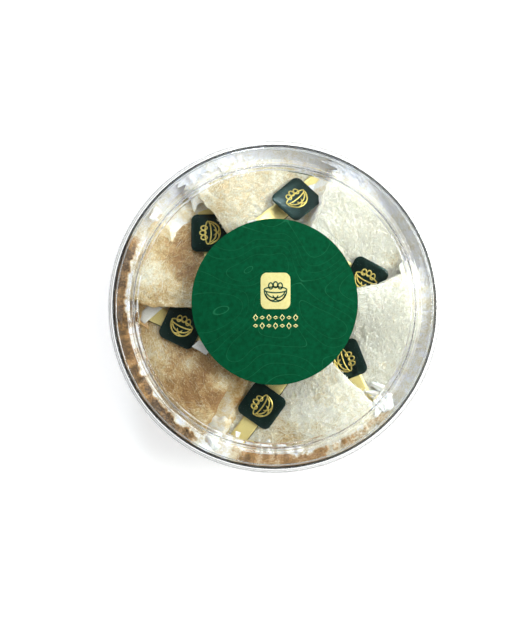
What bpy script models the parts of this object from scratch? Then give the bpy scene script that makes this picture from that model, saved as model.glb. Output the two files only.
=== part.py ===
"""A round clear plastic box of six edible bird's nests, each nest with its paper band and tag.

Metres, +Z up. The origin is the centre of the tub's underside, +X and +Y lie in the table's plane.
Seen from above, the nests lie in a pinwheel: each is a vaulted shell whose open mouth stands over
the low tail of the nest before it, so angles here run clockwise from a nest's own mouth.
"""

import math
from dataclasses import dataclass

import bmesh
import bpy
from mathutils import Matrix, Vector

MM = 0.001
GAP = 0.3 * MM

# Tub: an open bowl with a flange that the lid's skirt sits on
TURN_STEPS = 52
TUB_BASE_RADIUS = 91.2 * MM
TUB_RIM_RADIUS = 96.5 * MM
TUB_HEIGHT = 47.0 * MM
TUB_WALL = 1.4 * MM
TUB_FLOOR = 1.8 * MM
TUB_CORNER = 1.6 * MM
TUB_FLANGE_RADIUS = 99.0 * MM
TUB_FLANGE_TOP = 34.5 * MM
TUB_FLANGE_THICKNESS = 1.9 * MM

# Lid: a raised round plateau, a step, a flat shoulder and a flared skirt with a flange
LID_THICKNESS = 1.2 * MM
LID_TOP = 53.0 * MM
PLATEAU_RADIUS = 82.4 * MM
STEP_FOOT_RADIUS = 86.8 * MM
SHOULDER_RADIUS = 98.2 * MM
SHOULDER_CORNER = 2.4 * MM
SKIRT_FOOT_RADIUS = 98.8 * MM
LID_FLANGE_RADIUS = 100.0 * MM
LID_FLANGE_THICKNESS = 1.8 * MM
EDGE_EASE = 0.4 * MM

# Label: a paper disc on the plateau, stuck a little off the middle
LABEL_RADIUS = 48.6 * MM
LABEL_THICKNESS = 0.3 * MM
LABEL_CENTRE_Y = 2.9 * MM

# Nest: an arch swept round the box's axis, from the mouth to the tail
NEST_FOOT_Z = TUB_FLOOR + 0.9 * MM
NEST_CREST = 43.2 * MM
NEST_CENTRE_RADIUS = 51.3 * MM
NEST_HALF_WIDTH = 36.8 * MM
NEST_WALL = 3.6 * MM
ARCH_POWER = 3.2
OUTER_ARCH_POWER = 6.5
OUTER_LEAN = 0.11
LEAN_ROUNDS = 12
TAIL_END = 1.33
MOUTH_DIP = 0.03
CREST_FALL = 0.27
TAIL_SLOPE = 0.16
BUMP_HEIGHT = 0.7 * MM
MOUTH_WAVE = 1.3
NEST_SEGMENTS_ALONG = 10
NEST_SEGMENTS_ACROSS = 13

# Band and tag: a paper strip round each nest's wall, closed by a card tag
BAND_WIDTH = 10.5 * MM
BAND_THICKNESS = 0.3 * MM
BAND_CLEARANCE = 1.55 * MM
BAND_SAMPLES = 13
TAG_SIDE = 22.8 * MM
TAG_CORNER = 4.0 * MM
TAG_THICKNESS = 0.6 * MM
TAG_GAP = 0.3 * MM


@dataclass
class Nest:
    """One nest's place in the pinwheel. Angles are in degrees, tag_x and tag_y in millimetres.

    The tag's face leans tag_lean degrees from level, towards tag_lean_to in plan.
    """

    name: str
    mouth: float
    to_next: float
    mouth_skew: float
    tag_x: float
    tag_y: float
    tag_turn: float
    tag_lean: float
    tag_lean_to: float
    band_turn: float
    phase: float


NESTS = (
    Nest("1", 65.3, 52.0, 0.02, 54.7, 16.3, -28.0, 8.0, -60.0, -26.0, 0.3),
    Nest("2", 13.3, 57.3, 0.00, 42.1, -32.5, -68.5, 8.0, -110.0, -64.0, 1.7),
    Nest("3", -44.0, 74.0, -0.24, -7.6, -59.2, 55.0, 6.0, -120.0, 54.0, 2.6),
    Nest("4", -118.0, 62.0, -0.03, -55.7, -11.4, -25.0, 7.0, 160.0, -24.0, 3.9),
    Nest("5", -180.0, 56.5, -0.18, -38.7, 44.5, 91.0, 8.0, 100.0, 98.0, 4.6),
    Nest("6", 123.5, 58.2, 0.14, 13.1, 64.6, 46.0, 25.0, 84.0, 38.0, 5.8),
)

MATERIALS = {
    "clear_plastic": ((0.90, 0.93, 0.92), 0.08, 0.0),
    "nest": ((0.80, 0.72, 0.55), 0.55, 0.0),
    "gold_paper": ((0.72, 0.60, 0.25), 0.35, 0.6),
    "green_card": ((0.010, 0.035, 0.030), 0.25, 0.0),
    "green_label": ((0.004, 0.085, 0.032), 0.60, 0.0),
}


def clear_scene():
    """Removes whatever the scene holds."""
    for old in list(bpy.data.objects):
        bpy.data.objects.remove(old, do_unlink=True)


def make_material(name):
    """A Principled material with the colour, roughness and metallic value listed for name."""
    colour, roughness, metallic = MATERIALS[name]
    material = bpy.data.materials.new(name)
    material.use_nodes = True
    shader = material.node_tree.nodes["Principled BSDF"]
    shader.inputs["Base Color"].default_value = (*colour, 1.0)
    shader.inputs["Roughness"].default_value = roughness
    shader.inputs["Metallic"].default_value = metallic
    return material


def add_object(name, data, material, collection):
    """Links a new object with its material to the box's collection."""
    data.materials.append(material)
    made = bpy.data.objects.new(name, data)
    collection.objects.link(made)
    return made


def arc(centre_r, centre_z, radius, start, end, count):
    """Points of a profile's round stretch, from start to end degrees, both included."""
    turns = [math.radians(start + (end - start) * i / count) for i in range(count + 1)]
    return [(centre_r + radius * math.cos(t), centre_z + radius * math.sin(t)) for t in turns]


def turned(name, profile, material, collection):
    """A solid of revolution: a profile of (radius, height) points with a Screw round Z."""
    mesh = bpy.data.meshes.new(name)
    edges = [(i, i + 1) for i in range(len(profile) - 1)]
    mesh.from_pydata([(r, 0.0, z) for r, z in profile], edges, [])
    made = add_object(name, mesh, material, collection)
    screw = made.modifiers.new("turn", "SCREW")
    screw.axis = "Z"
    screw.steps = screw.render_steps = TURN_STEPS
    screw.use_merge_vertices = True
    screw.merge_threshold = 0.02 * MM
    return made


def tub_profile():
    """Half section of the tub: floor inside, up the wall, over the rim, down outside with the flange."""
    base_inner = TUB_BASE_RADIUS - TUB_WALL
    flange_foot = TUB_FLANGE_TOP - TUB_FLANGE_THICKNESS
    draft = (TUB_RIM_RADIUS - TUB_BASE_RADIUS) / TUB_HEIGHT
    corner_in = base_inner - TUB_CORNER
    inside = [(0.0, TUB_FLOOR)]
    inside += arc(corner_in, TUB_FLOOR + TUB_CORNER, TUB_CORNER, -90, 0, 2)
    rim = [
        (TUB_RIM_RADIUS - TUB_WALL, TUB_HEIGHT - EDGE_EASE),
        (TUB_RIM_RADIUS - TUB_WALL + EDGE_EASE, TUB_HEIGHT),
        (TUB_RIM_RADIUS - EDGE_EASE, TUB_HEIGHT),
        (TUB_RIM_RADIUS, TUB_HEIGHT - EDGE_EASE),
    ]
    flange = [
        (TUB_BASE_RADIUS + draft * TUB_FLANGE_TOP, TUB_FLANGE_TOP),
        (TUB_FLANGE_RADIUS - EDGE_EASE, TUB_FLANGE_TOP),
        (TUB_FLANGE_RADIUS, TUB_FLANGE_TOP - EDGE_EASE),
        (TUB_FLANGE_RADIUS, flange_foot + EDGE_EASE),
        (TUB_FLANGE_RADIUS - EDGE_EASE, flange_foot),
        (TUB_BASE_RADIUS + draft * flange_foot, flange_foot),
    ]
    foot = arc(TUB_BASE_RADIUS - TUB_CORNER, TUB_CORNER, TUB_CORNER, 0, -90, 2)
    return inside + rim + flange + foot + [(0.0, 0.0)]


def step_curve(thickness, count):
    """The lid's step from plateau to shoulder: half a cosine wave, with the wall kept below it."""
    drop = LID_TOP - shoulder_top()
    points = []
    for i in range(count + 1):
        share = i / count
        radius = PLATEAU_RADIUS + share * (STEP_FOOT_RADIUS - PLATEAU_RADIUS)
        height = LID_TOP - drop * (1 - math.cos(math.pi * share)) / 2
        points.append((radius - thickness * 0.45 * math.sin(math.pi * share), height - thickness))
    return points


def shoulder_top():
    """Height of the lid's shoulder: its wall rests on the tub's rim."""
    return TUB_HEIGHT + GAP + LID_THICKNESS


def lid_profile():
    """Half section of the lid: plateau, step, shoulder, skirt and flange, then back up inside."""
    top = shoulder_top()
    corner_r = SHOULDER_RADIUS - SHOULDER_CORNER
    corner_z = top - SHOULDER_CORNER
    flange_foot = TUB_FLANGE_TOP + GAP + 0.1 * MM
    flange_top = flange_foot + LID_FLANGE_THICKNESS
    outside = [(0.0, LID_TOP)]
    outside += step_curve(0.0, 4)
    outside += arc(corner_r, corner_z, SHOULDER_CORNER, 90, 10, 3)
    outside += [
        (SKIRT_FOOT_RADIUS, flange_top),
        (LID_FLANGE_RADIUS - EDGE_EASE, flange_top),
        (LID_FLANGE_RADIUS, flange_top - EDGE_EASE),
        (LID_FLANGE_RADIUS, flange_foot + EDGE_EASE),
        (LID_FLANGE_RADIUS - EDGE_EASE, flange_foot),
    ]
    inside = [
        (SKIRT_FOOT_RADIUS - LID_THICKNESS, flange_foot),
        (SHOULDER_RADIUS - LID_THICKNESS + 0.2 * MM, top - LID_THICKNESS - 0.2 * MM),
        (SHOULDER_RADIUS - LID_THICKNESS - 0.4 * MM, top - LID_THICKNESS),
    ]
    inside += reversed(step_curve(LID_THICKNESS, 4))
    return outside + inside + [(0.0, LID_TOP - LID_THICKNESS)]


def crest_height(v):
    """Height of the arch at v, where 0 is the mouth and 1 is where the next nest's mouth stands.

    It dips a little at the mouth, falls in a smooth step over the middle, and stays low at the tail.
    """
    dip = MOUTH_DIP * (max(0.2 - v, 0.0) / 0.2) ** 2
    share = min(max((v - 0.12) / 0.68, 0.0), 1.0)
    fall = CREST_FALL * share * share * (3 - 2 * share) + TAIL_SLOPE * max(v - 0.8, 0.0)
    return NEST_CREST * (1 - dip - fall)


def half_width(v):
    """Half the arch's width at v: full over the front, then narrowing to fit the next nest's mouth."""
    return NEST_HALF_WIDTH * (1 - 0.19 * (max(v - 0.5, 0.0) / 0.5) ** 1.4)


def bump(nest, v, across):
    """Slow swells of the nest's surface, as a distance out from the arch. They fade on the tail."""
    fade = 1.0 if v < 0.8 else 0.35
    swell = math.sin(5.2 * across + nest.phase) * math.cos(4.4 * v + 2.0 * nest.phase)
    return BUMP_HEIGHT * fade * swell


def arch_point(nest, v, across, lift=0.0):
    """A point on the nest's outer surface, lift metres out from it.

    across runs from 0 at the outer foot to pi at the inner foot. The arch is a superellipse:
    its width and height are powers of the angle's cosine and sine. The outer half is squarer and
    leans out as it rises, because it was pressed against the tub's wall.
    """
    cos_a, sin_a = math.cos(across), math.sin(across)
    power = 2 / (OUTER_ARCH_POWER if cos_a > 0 else ARCH_POWER)
    out = bump(nest, v, across) * sin_a + lift
    height = (crest_height(v) + out) * abs(sin_a) ** power
    width = half_width(v) + out
    if cos_a > 0:
        width += OUTER_LEAN * height
    radius = NEST_CENTRE_RADIUS + width * math.copysign(abs(cos_a) ** power, cos_a)
    angle = math.radians(nest.mouth - v * nest.to_next)
    return Vector((radius * math.cos(angle), radius * math.sin(angle), NEST_FOOT_Z + height))


def mouth_edge(nest, across):
    """Where the wavy edge of the mouth lies, as v."""
    radius = NEST_CENTRE_RADIUS + NEST_HALF_WIDTH * math.cos(across)
    skew = -nest.mouth_skew * (radius / MM - 58.0)
    wave = MOUTH_WAVE * math.sin(3 * across + nest.phase)
    return (skew + wave) * math.sin(across) / nest.to_next


def make_nest(nest, material, collection):
    """The nest's shell: a grid bent into the arch, with its wall inwards by Solidify."""
    grid = bmesh.new()
    bmesh.ops.create_grid(
        grid, x_segments=NEST_SEGMENTS_ALONG, y_segments=NEST_SEGMENTS_ACROSS, size=1.0
    )
    for vert in grid.verts:
        along, across = (vert.co.x + 1) / 2, math.pi * (vert.co.y + 1) / 2
        edge = mouth_edge(nest, across)
        vert.co = arch_point(nest, edge + along * (TAIL_END - edge), across)
    bmesh.ops.reverse_faces(grid, faces=grid.faces)
    mesh = bpy.data.meshes.new(f"nest_{nest.name}")
    grid.to_mesh(mesh)
    grid.free()
    made = add_object(f"nest_{nest.name}", mesh, material, collection)
    wall = made.modifiers.new("wall", "SOLIDIFY")
    wall.thickness = NEST_WALL
    wall.offset = -1.0
    return made


def on_nest(nest, x, y):
    """The (v, across) of the outer surface's point above (x, y), or None past the arch.

    The outer half's lean depends on the height, so its height is found in rounds, from the top down.
    """
    offset = math.hypot(x, y) - NEST_CENTRE_RADIUS
    turn = (nest.mouth - math.degrees(math.atan2(y, x)) + 180) % 360 - 180
    v = turn / nest.to_next
    power, lean = (OUTER_ARCH_POWER, OUTER_LEAN) if offset > 0 else (ARCH_POWER, 0.0)
    height = crest_height(v)
    for _ in range(LEAN_ROUNDS):
        share = abs(offset) / (half_width(v) + lean * height)
        if share > 1:
            return None
        height = crest_height(v) * (1 - share**power) ** (1 / power)
    return v, math.acos(math.copysign(share ** (power / 2), offset))


def tag_place(nest):
    """Where the tag's centre lies in plan, in metres."""
    return nest.tag_x * MM, nest.tag_y * MM


def band_edge(nest, sideways):
    """One long edge of the band on the nest's skin: (v, across) from the mouth to the outer foot.

    In plan the edge is a straight line, sideways metres beside the tag's centre.
    """
    turn = math.radians(nest.band_turn)
    along, aside = Vector((math.cos(turn), math.sin(turn))), Vector((-math.sin(turn), math.cos(turn)))
    tag = Vector(tag_place(nest))
    if along.dot(tag) < 0:
        along = -along
    start = tag + aside * sideways

    def placed(distance):
        found = on_nest(nest, *(start + along * distance))
        return found if found and found[0] > mouth_edge(nest, found[1]) else None

    def reach(step):
        distance = 0.0
        while placed(distance + step):
            distance += step
        return distance

    first, last = reach(-0.1 * MM), reach(0.1 * MM)
    spread = [(1 - math.cos(math.pi * i / (BAND_SAMPLES - 1))) / 2 for i in range(BAND_SAMPLES)]
    return [placed(last + (first - last) * share) for share in spread]


def make_band(nest, material, collection):
    """A closed paper loop: over the nest's skin, round its mouth, and back inside its wall."""
    outer_lift = BAND_CLEARANCE
    inner_lift = -NEST_WALL - BAND_CLEARANCE
    columns = []
    for sideways in (-BAND_WIDTH / 2, BAND_WIDTH / 2):
        edge = band_edge(nest, sideways)
        foot_v, (mouth_v, mouth_across) = edge[0][0], edge[-1]
        past_mouth = mouth_v - math.degrees(BAND_CLEARANCE / math.hypot(*tag_place(nest))) / nest.to_next
        loop = [arch_point(nest, v, a, outer_lift) for v, a in edge]
        loop += [arch_point(nest, past_mouth, mouth_across, lift) for lift in (outer_lift, inner_lift)]
        loop += [arch_point(nest, v, a, inner_lift) for v, a in reversed(edge)]
        for lift in (inner_lift, outer_lift):
            foot = arch_point(nest, foot_v, 0.0, lift)
            foot.z = NEST_FOOT_Z - 0.5 * MM
            loop.append(foot)
        columns.append(loop)
    strip = bmesh.new()
    rows = [[strip.verts.new(p) for p in loop] for loop in columns]
    count = len(rows[0])
    for i in range(count):
        j = (i + 1) % count
        strip.faces.new((rows[0][i], rows[0][j], rows[1][j], rows[1][i]))
    bmesh.ops.recalc_face_normals(strip, faces=strip.faces)
    mesh = bpy.data.meshes.new(f"band_{nest.name}")
    strip.to_mesh(mesh)
    strip.free()
    made = add_object(f"band_{nest.name}", mesh, material, collection)
    paper = made.modifiers.new("paper", "SOLIDIFY")
    paper.thickness = BAND_THICKNESS
    paper.offset = 0.0
    return made


def rounded_square(side, corner, corner_points=4):
    """Outline of a square with round corners, anticlockwise."""
    inner = side / 2 - corner
    points = []
    for quarter, (sx, sy) in enumerate(((1, 1), (-1, 1), (-1, -1), (1, -1))):
        points += arc(sx * inner, sy * inner, corner, 90 * quarter, 90 * quarter + 90, corner_points)
    return points


def make_tag(nest, material, collection):
    """A card tag: a flat plate at its own lean, low enough to rest on the band round the nest."""
    curve = bpy.data.curves.new(f"tag_{nest.name}", "CURVE")
    curve.dimensions = "2D"
    curve.fill_mode = "BOTH"
    curve.extrude = TAG_THICKNESS / 2
    outline = rounded_square(TAG_SIDE, TAG_CORNER)
    spline = curve.splines.new("POLY")
    spline.points.add(len(outline) - 1)
    for point, (x, y) in zip(spline.points, outline):
        point.co = (x, y, 0.0, 1.0)
    spline.use_cyclic_u = True
    made = add_object(f"tag_{nest.name}", curve, material, collection)
    turn, lean, lean_to = (math.radians(d) for d in (nest.tag_turn, nest.tag_lean, nest.tag_lean_to))
    normal = Vector(
        (math.sin(lean) * math.cos(lean_to), math.sin(lean) * math.sin(lean_to), math.cos(lean))
    )
    heading = Vector((math.cos(turn), math.sin(turn), 0.0))
    side = normal.cross(heading).normalized()
    forward = side.cross(normal)
    centre = Vector((*tag_place(nest), 0.0))
    height = 0.0
    for share in (0.0, 0.35, 0.7, 1.0):
        for x, y in outline:
            spot = centre + (forward * x + side * y) * share
            found = on_nest(nest, spot.x, spot.y)
            if found and found[0] > 0:
                skin = arch_point(nest, *found, BAND_CLEARANCE + BAND_THICKNESS)
                height = max(height, skin.z - spot.z)
    centre.z = height + TAG_GAP + TAG_THICKNESS / 2
    rotation = Matrix((forward, side, normal)).transposed()
    made.matrix_world = Matrix.Translation(centre) @ rotation.to_4x4()
    return made


def make_label(material, collection):
    """The paper disc, resting on the plateau with a hair's gap."""
    disc = bmesh.new()
    bmesh.ops.create_cone(
        disc,
        cap_ends=True,
        segments=TURN_STEPS,
        radius1=LABEL_RADIUS,
        radius2=LABEL_RADIUS,
        depth=LABEL_THICKNESS,
    )
    mesh = bpy.data.meshes.new("label")
    disc.to_mesh(mesh)
    disc.free()
    made = add_object("label", mesh, material, collection)
    made.location = (0.0, LABEL_CENTRE_Y, LID_TOP + GAP + LABEL_THICKNESS / 2)
    return made


def main():
    clear_scene()
    collection = bpy.data.collections.new("boxed_birds_nests")
    bpy.context.scene.collection.children.link(collection)
    materials = {name: make_material(name) for name in MATERIALS}
    turned("tub", tub_profile(), materials["clear_plastic"], collection)
    turned("lid", lid_profile(), materials["clear_plastic"], collection)
    make_label(materials["green_label"], collection)
    for nest in NESTS:
        make_nest(nest, materials["nest"], collection)
        make_band(nest, materials["gold_paper"], collection)
        make_tag(nest, materials["green_card"], collection)


main()
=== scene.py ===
# %% [markdown]
# # A round clear box of edible bird's nests
# The box is a clear moulded tub with a stepped lid, about 200 mm across. Inside it, six nests lie
# in a ring, each with its open mouth over the tail of the nest before it. A swiftlet builds such a
# nest from strands of saliva, which dry into a light, brittle, ivory cup. A paper band with a card
# tag holds each one, and a round green label is stuck on the lid. The camera looks straight down.

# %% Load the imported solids
import itertools
import math

import bmesh
import bpy
import numpy as np
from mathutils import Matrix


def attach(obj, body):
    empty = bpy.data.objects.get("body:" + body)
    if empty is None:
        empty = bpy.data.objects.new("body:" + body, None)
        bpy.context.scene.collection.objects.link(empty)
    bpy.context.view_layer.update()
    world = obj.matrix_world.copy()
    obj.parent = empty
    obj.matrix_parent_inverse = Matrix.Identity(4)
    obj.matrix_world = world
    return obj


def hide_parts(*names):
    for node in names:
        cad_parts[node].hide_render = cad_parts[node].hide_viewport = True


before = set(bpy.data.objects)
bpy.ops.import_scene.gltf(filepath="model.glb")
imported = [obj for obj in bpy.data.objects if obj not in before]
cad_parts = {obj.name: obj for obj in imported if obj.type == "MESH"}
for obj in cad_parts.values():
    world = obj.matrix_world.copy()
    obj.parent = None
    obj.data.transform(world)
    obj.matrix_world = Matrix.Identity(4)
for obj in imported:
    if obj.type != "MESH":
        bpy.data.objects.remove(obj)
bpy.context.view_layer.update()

MM = 0.001
print("solids:", sorted(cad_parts))

# %% [markdown]
# A few small helpers carry the whole file. Colours are written as sRGB hex codes, the way a colour
# picker shows them, but Blender's shaders work in linear light, so one function converts them.
# Another adds a shader node together with its settings and its links. A third starts a material
# with its Principled shader, which is the plain model of almost every real surface, and the last
# adds the small unevenness that keeps paper, card and foil from looking like computer colour.


# %% Colours, nodes and materials
def linear(code):
    """An sRGB hex colour in linear light: ((c + 0.055) / 1.055) to the power 2.4 in each channel."""
    c = np.array([int(code[i : i + 2], 16) for i in (1, 3, 5)]) / 255
    c = np.where(c > 0.04045, ((c + 0.055) / 1.055) ** 2.4, c / 12.92)
    return (*c.tolist(), 1.0)


def add_node(tree, kind, inputs=None, **settings):
    """Adds a shader node. Each input is a number, a colour or another node's output."""
    made = tree.nodes.new("ShaderNode" + kind)
    for key, value in settings.items():
        setattr(made, key, value)
    for key, value in (inputs or {}).items():
        if isinstance(value, bpy.types.NodeSocket):
            tree.links.new(value, made.inputs[key])
        else:
            made.inputs[key].default_value = value
    return made


def new_material(name, **sockets):
    """A material with a Principled shader. Underscores in socket names stand for spaces."""
    made = bpy.data.materials.new(name)
    made.use_nodes = True
    shader = made.node_tree.nodes["Principled BSDF"]
    for key, value in sockets.items():
        shader.inputs[key.replace("_", " ")].default_value = value
    return made, made.node_tree, shader


def colour_ramp(tree, fac, stops):
    """A Color Ramp over fac, with (place, hex colour) stops in rising order."""
    made = add_node(tree, "ValToRGB", {"Fac": fac})
    points = made.color_ramp.elements
    while len(points) < len(stops):
        points.new(0.5)
    for point, (place, code) in zip(points, stops):
        point.position = place
        point.color = linear(code)
    return made.outputs["Color"]


def mottle(tree, shader, dark, pale, grain, bump):
    """Gives a shader a colour that drifts between dark and pale over patches of about grain
    metres, and a relief of the same grain, bump times a tenth of a millimetre deep."""
    place = add_node(tree, "TexCoord")
    patches = add_node(
        tree, "TexNoise", {"Vector": place.outputs["Object"], "Scale": 1 / grain, "Detail": 3.0, "Roughness": 0.6}
    )
    tree.links.new(colour_ramp(tree, patches.outputs["Fac"], [(0.3, dark), (0.7, pale)]), shader.inputs["Base Color"])
    relief = add_node(tree, "Bump", {"Height": patches.outputs["Fac"], "Strength": bump, "Distance": 0.1 * MM})
    tree.links.new(relief.outputs["Normal"], shader.inputs["Normal"])


# %% [markdown]
# Every shape here is a grid of points: a function of two numbers gives the place of each point, and
# neighbouring points are joined by quads. numpy works out all the points at once, and foreach_set
# hands them to the mesh in one go. Where a row shrinks to a point, as at the middle of a disc, its
# points are merged, so the mesh is closed there. Then the faces of closed shapes are turned outwards.


# %% Grids into meshes
def grid_faces(rows, columns, wrap_rows=False, wrap_columns=False):
    """The four corner numbers of each quad between neighbouring grid points."""
    i, j = np.meshgrid(
        np.arange(rows if wrap_rows else rows - 1),
        np.arange(columns if wrap_columns else columns - 1),
        indexing="ij",
    )
    i2, j2 = (i + 1) % rows, (j + 1) % columns
    return np.stack([i * columns + j, i2 * columns + j, i2 * columns + j2, i * columns + j2], -1).reshape(-1, 4)


def add_mesh(name, points, faces, materials, smooth=True, clean=True):
    """Makes a mesh object from arrays. clean merges doubled points and turns faces outwards."""
    points = np.asarray(points, np.float32).reshape(-1, 3)
    faces = np.asarray(faces, np.int32)
    mesh = bpy.data.meshes.new(name)
    mesh.vertices.add(len(points))
    mesh.vertices.foreach_set("co", points.ravel())
    mesh.loops.add(faces.size)
    mesh.loops.foreach_set("vertex_index", faces.ravel())
    mesh.polygons.add(len(faces))
    mesh.polygons.foreach_set("loop_start", np.arange(0, faces.size, faces.shape[1], dtype=np.int32))
    mesh.update(calc_edges=True)
    if clean:
        work = bmesh.new()
        work.from_mesh(mesh)
        bmesh.ops.remove_doubles(work, verts=work.verts, dist=0.002 * MM)
        bmesh.ops.recalc_face_normals(work, faces=work.faces)
        work.to_mesh(mesh)
        work.free()
    if smooth:
        mesh.shade_smooth()
    for material in materials:
        mesh.materials.append(material)
    made = bpy.data.objects.new(name, mesh)
    bpy.context.scene.collection.objects.link(made)
    return made


def put_on_box(piece, slot, *nodes):
    """The piece moves with the box and takes the place of these solids. slot is not used."""
    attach(piece, "root")
    if nodes:
        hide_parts(*nodes)


# %% [markdown]
# The camera stands 636 mm above the table, straight over the middle of the box: in the photograph
# all the rings of the lid share one centre, so there is no tilt. The box sits a little right of and
# above the middle of the picture, which the lens shift gives without turning the camera.

# %% Camera
CAMERA_HEIGHT = 636 * MM
camera_data = bpy.data.cameras.new("camera_above")
camera_data.lens = 56.1
camera_data.sensor_width = 36.0
camera_data.shift_x = -12.0 / 640
camera_data.shift_y = -13.2 / 640
camera_data.clip_start = 0.01
camera = bpy.data.objects.new("camera_above", camera_data)
camera.location = (0, 0, CAMERA_HEIGHT)
bpy.context.scene.collection.objects.link(camera)
bpy.context.scene.camera = camera
print("camera height", camera.location.z)

# %% [markdown]
# The light is soft daylight from the right. A pale dome lights everything, brighter on the right
# than on the left, which gives the nests a lit flank and a shaded one. Straight overhead it is dark,
# because a photographer leans over the box there, so neither the flat lid nor the glossy tags turn
# into mirrors. A low band of light on the left and in front draws the white arcs on the lid's step.
# Two large windows add the bright right side and the gleam on the topmost tag.


# %% Light
def make_sky():
    """The dome's colour by its height, times a strength that grows from left to right, with a
    narrow band at 0.37 of the full height added on the left and in front."""
    world = bpy.data.worlds.new("daylight_dome")
    bpy.context.scene.world = world
    world.use_nodes = True
    tree = world.node_tree
    tree.nodes.clear()
    place = add_node(tree, "TexCoord")
    parts = add_node(tree, "SeparateXYZ", {"Vector": place.outputs["Generated"]})
    colour = colour_ramp(
        tree,
        parts.outputs["Z"],
        [
            (0.0, "#EFEFEF"), (0.055, "#E6E2DE"), (0.09, "#5A4030"), (0.20, "#907A69"),
            (0.35, "#EEEEEE"), (0.74, "#F6F8FA"), (0.88, "#45423F"), (1.0, "#2A2826"),
        ],
    )
    side = add_node(tree, "VectorMath", {0: place.outputs["Generated"], 1: (0.92, 0.39, 0.0)}, operation="DOT_PRODUCT")
    strength = add_node(
        tree, "MapRange", {"Value": side.outputs["Value"], "From Min": -1.0, "From Max": 1.0, "To Min": 0.36, "To Max": 1.88}
    )
    band = add_node(tree, "Math", {0: parts.outputs["Z"], 1: 0.37, 2: 0.016}, operation="COMPARE")
    front = add_node(tree, "VectorMath", {0: place.outputs["Generated"], 1: (-0.75, -0.66, 0.0)}, operation="DOT_PRODUCT")
    reach = add_node(
        tree, "MapRange", {"Value": front.outputs["Value"], "From Min": 0.25, "From Max": 0.6, "To Min": 0.0, "To Max": 4.0}
    )
    extra = add_node(
        tree, "Math", {0: band.outputs["Value"], 1: reach.outputs["Result"], 2: strength.outputs["Result"]}, operation="MULTIPLY_ADD"
    )
    shine = add_node(tree, "Background", {"Color": colour, "Strength": extra.outputs["Value"]})
    out = add_node(tree, "OutputWorld")
    tree.links.new(shine.outputs["Background"], out.inputs["Surface"])


def add_window(name, place, size, watts, code):
    """A square soft light at place that faces the middle of the box."""
    data = bpy.data.lights.new(name, "AREA")
    data.shape = "SQUARE"
    data.size = size
    data.energy = watts
    data.color = linear(code)[:3]
    lamp = bpy.data.objects.new(name, data)
    lamp.location = place
    toward = -np.array(place, float)
    tilt = math.acos(-toward[2] / np.linalg.norm(toward))
    lamp.rotation_euler = (tilt, 0, math.atan2(toward[1], toward[0]) - math.pi / 2)
    bpy.context.scene.collection.objects.link(lamp)


make_sky()
add_window("window_right", (1.90, 0.44, 1.60), 1.2, 44.0, "#FFFDF8")
add_window("window_back", (-0.17, 1.00, 0.72), 0.22, 4.6, "#F0F5FF")
bpy.context.scene.view_settings.view_transform = "Standard"

# %% [markdown]
# The floor is plain white paper board, matte, and a touch brighter than the nests.

# %% Floor
board, board_tree, board_shader = new_material(
    "matte_white_board", Roughness=0.9, Specular_IOR_Level=0.1, Emission_Color=(1, 1, 1, 1), Emission_Strength=0.42
)
mottle(board_tree, board_shader, "#FAFAFA", "#FCFCFC", 4 * MM, 0.2)
floor = add_mesh(
    "floor",
    [(-12, -12, 0), (12, -12, 0), (12, 12, 0), (-12, 12, 0)],
    [[0, 1, 2, 3]],
    [board],
    smooth=False,
    clean=False,
)

# %% [markdown]
# The tub and the lid are injection-moulded clear polystyrene: hard, glossy and brighter than glass
# at the edges, because its index of refraction is 1.59. Rays that only carry shadows pass straight
# through, so the lamps light the nests inside without the grain that bent light would bring.


# %% Clear polystyrene
def make_polystyrene():
    """Clear plastic that bends the light the eye follows, and lets shadow rays through."""
    made, tree, shader = new_material(
        "moulded_clear_polystyrene",
        Base_Color=linear("#F7F9F9"),
        Roughness=0.015,
        IOR=1.59,
        Transmission_Weight=1.0,
    )
    path = add_node(tree, "LightPath")
    clear = add_node(tree, "BsdfTransparent", {"Color": linear("#F4F8F8")})
    mix = add_node(
        tree,
        "MixShader",
        {0: path.outputs["Is Shadow Ray"], 1: shader.outputs["BSDF"], 2: clear.outputs["BSDF"]},
    )
    tree.links.new(mix.outputs["Shader"], tree.nodes["Material Output"].inputs["Surface"])
    return made


polystyrene = make_polystyrene()
print("IOR", polystyrene.node_tree.nodes["Principled BSDF"].inputs["IOR"].default_value)

# %% [markdown]
# Both plastic pieces are turned shapes: half of the section is drawn as corners with radii, each
# corner is rounded by an arc, and the outline is swept round the upright axis. The rounded corners
# matter more than anything else here, because each one shows up as a bright or a dark ring.


# %% Turned shapes
TURN_STEPS = 200


def rounded_outline(corners, steps=5):
    """An outline through (radius, height, fillet) corners, in millimetres. An arc of the fillet's
    radius replaces each corner: it starts fillet / tan(half the corner's angle) before it."""
    corner = np.array(corners, float)
    points = [corner[0, :2]]
    for before, here, after in zip(corner[:-2], corner[1:-1], corner[2:]):
        into, out = here[:2] - before[:2], after[:2] - here[:2]
        length = min(np.linalg.norm(into), np.linalg.norm(out))
        into, out = into / np.linalg.norm(into), out / np.linalg.norm(out)
        turn = math.acos(float(np.clip(into @ out, -1, 1)))
        back = min(here[2] * math.tan(turn / 2), 0.49 * length)
        if back < 1e-6:
            points.append(here[:2])
            continue
        t = np.linspace(0, 1, steps + 1)[:, None]
        start, end = here[:2] - into * back, here[:2] + out * back
        points.extend((1 - t) ** 2 * start + 2 * t * (1 - t) * here[:2] + t**2 * end)
    points.append(corner[-1, :2])
    return np.array(points)


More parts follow.
